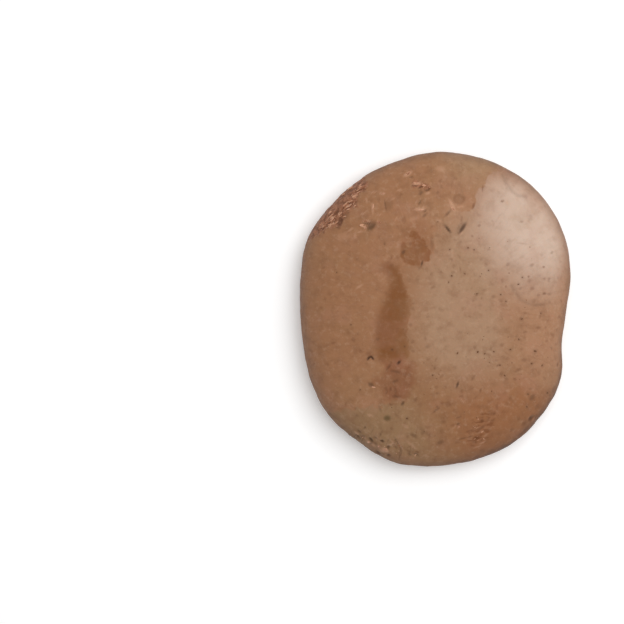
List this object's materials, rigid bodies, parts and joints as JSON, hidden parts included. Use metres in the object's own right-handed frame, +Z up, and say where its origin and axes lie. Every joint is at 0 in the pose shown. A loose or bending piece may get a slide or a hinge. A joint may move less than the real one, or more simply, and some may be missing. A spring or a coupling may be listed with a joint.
{
  "type": "portobello mushroom",
  "caption": "Whole portobello mushroom cap lying skin up, with radial gills beneath and its stem cut level with the rim.",
  "frame": {"origin": "on the table under the middle of the cap's bounding box", "axes": "+Z up through the crown of the cap, +Y along the cap's longer side, +X to its right seen from above"},
  "size_m": [0.1054, 0.1224, 0.03],
  "materials": {
    "mushroom_flesh": "matte"
  },
  "bodies": {
    "root": {"mushroom": "mushroom_flesh"}
  },
  "joints": []
}
